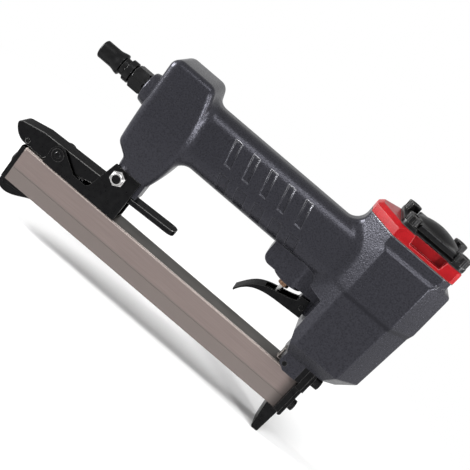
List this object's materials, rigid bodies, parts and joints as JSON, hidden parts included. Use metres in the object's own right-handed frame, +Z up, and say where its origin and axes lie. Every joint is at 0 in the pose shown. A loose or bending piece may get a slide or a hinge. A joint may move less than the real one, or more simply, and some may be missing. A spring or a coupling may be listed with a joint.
{
  "type": "pneumatic stapler",
  "caption": "Hand-held pneumatic fine-wire stapler: cast body with handle and cylinder head, trigger valve, piston driver, nose, latched sliding magazine and air plug.",
  "frame": {"origin": "where a staple leaves the nose tip, on the drive axis, in the plane of the tip's end face", "axes": "+X forward, along the magazine towards the nose; +Y to the tool's left; +Z up, against the drive stroke"},
  "size_m": [0.2365, 0.046, 0.1535],
  "materials": {
    "hammered_paint": "dark grey hammered paint on a cast alloy",
    "red_cap": "red satin paint on a cast alloy",
    "black_steel": "black satin",
    "anodised_alloy": "warm grey anodised",
    "bright_steel": "bright",
    "plain_alloy": "machined",
    "copper_brass": "coppery brass",
    "black_rubber": "matt",
    "spring_steel": "drawn wire"
  },
  "bodies": {
    "gun": {"gun_body": "hammered_paint", "cap_gasket": "black_rubber", "cylinder_cap": "red_cap", "cover_gasket": "black_rubber", "exhaust_cover": "black_steel", "cap_bolts": "black_steel", "cylinder_sleeve": "plain_alloy", "cylinder_seals": "black_rubber", "bumper": "black_rubber", "head_valve_spring": "spring_steel", "trigger_pin": "black_steel", "valve_bushing": "copper_brass", "valve_seals": "black_rubber", "valve_cap": "copper_brass", "valve_spring": "spring_steel", "air_plug": "black_steel", "plug_seal": "black_rubber", "magazine_housing": "anodised_alloy", "magazine_pin": "black_steel", "driver_guide": "black_steel", "nose_block": "black_steel", "nose_plate": "black_steel", "nose_screws": "black_steel", "tip_screw": "black_steel", "magazine_bracket": "black_steel", "bracket_screws": "black_steel", "bracket_bolt": "black_steel", "bracket_nut": "bright_steel", "latch_pivot_pin": "black_steel", "latch_spring": "spring_steel"},
    "trigger": {"trigger": "black_steel"},
    "valve_stem": {"valve_stem": "bright_steel"},
    "latch": {"latch_lever": "black_steel", "latch_catch_pin": "black_steel"},
    "rail": {"magazine_rail": "bright_steel", "rail_end_cap": "black_steel", "end_cap_screw": "black_steel", "pusher_rod": "bright_steel", "pusher_spring": "spring_steel"},
    "pusher": {"pusher": "bright_steel"},
    "piston": {"piston": "plain_alloy", "piston_ring": "black_rubber", "driver_blade": "bright_steel", "driver_pin": "bright_steel"},
    "head_valve": {"head_valve": "plain_alloy", "head_valve_seals": "black_rubber"}
  },
  "joints": [
    {"name": "trigger_pull", "type": "hinge", "parent": "gun", "child": "trigger", "pos_m": [-0.0263, 0, 0.0718], "axis": [0, 1, 0], "range_deg": [0, 9.5]},
    {"name": "valve_stem_lift", "type": "slide", "parent": "gun", "child": "valve_stem", "axis": [0, 0, 1], "range_m": [0, 0.0025], "stiffness_N_per_m": 40, "springref_m": -0.005, "deforming": ["valve_spring"]},
    {"name": "latch_press", "type": "hinge", "parent": "gun", "child": "latch", "pos_m": [-0.18075, 0, 0.0489], "axis": [0, 1, 0], "range_deg": [0, 6.5], "stiffness_Nm_per_rad": 1, "springref_deg": -8.59, "deforming": ["latch_spring"]},
    {"name": "rail_slide", "type": "slide", "parent": "gun", "child": "rail", "axis": [-1, 0, 0], "range_m": [0, 0.135]},
    {"name": "pusher_slide", "type": "slide", "parent": "rail", "child": "pusher", "axis": [-1, 0, 0], "range_m": [0, 0.12], "stiffness_N_per_m": 60, "springref_m": -0.08, "deforming": ["pusher_spring"]},
    {"name": "piston_stroke", "type": "slide", "parent": "gun", "child": "piston", "axis": [0, 0, -1], "range_m": [0, 0.039]},
    {"name": "head_valve_lift", "type": "slide", "parent": "gun", "child": "head_valve", "axis": [0, 0, 1], "range_m": [0, 0.0025], "stiffness_N_per_m": 800, "springref_m": -0.004, "deforming": ["head_valve_spring"]}
  ],
  "couplings": [
    {"joint": "trigger_pull", "follows": "valve_stem_lift", "rad_per_m": 64.935}
  ]
}
